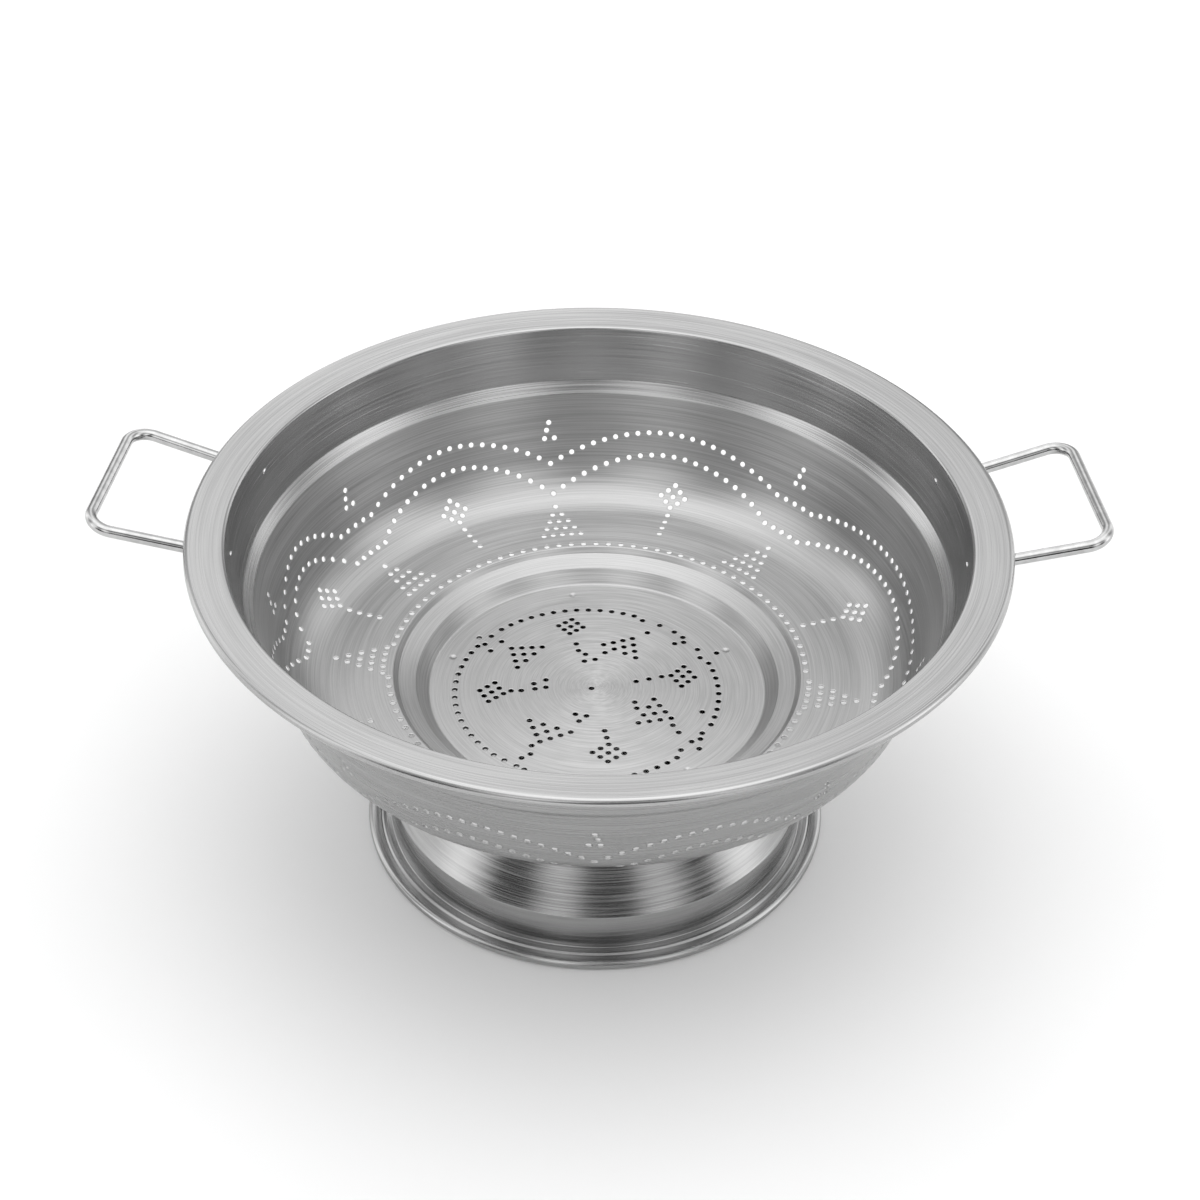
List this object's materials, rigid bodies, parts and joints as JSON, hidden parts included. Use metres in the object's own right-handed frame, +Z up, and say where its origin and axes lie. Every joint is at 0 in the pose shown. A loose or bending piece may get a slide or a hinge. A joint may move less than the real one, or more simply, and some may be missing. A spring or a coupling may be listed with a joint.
{
  "type": "footed colander",
  "caption": "Round sheet metal colander with a flanged rim, punched arches and stars, two bent wire handles and a flared pedestal foot.",
  "frame": {"origin": "centre of the circle on which the foot stands, on the table", "axes": "+Z up along the bowl's axis, X from the left handle to the right handle, +Y away from the viewer of the picture"},
  "size_m": [0.4222, 0.34, 0.1626],
  "materials": {
    "bowl_steel": "satin, brushed in circles",
    "foot_steel": "satin, brushed in circles",
    "wire_steel": "polished wire",
    "weld_steel": "dull weld metal"
  },
  "bodies": {
    "root": {"bowl": "bowl_steel", "foot_ring": "foot_steel", "handle_right": "wire_steel", "handle_left": "wire_steel", "handle_welds": "weld_steel"}
  },
  "joints": []
}
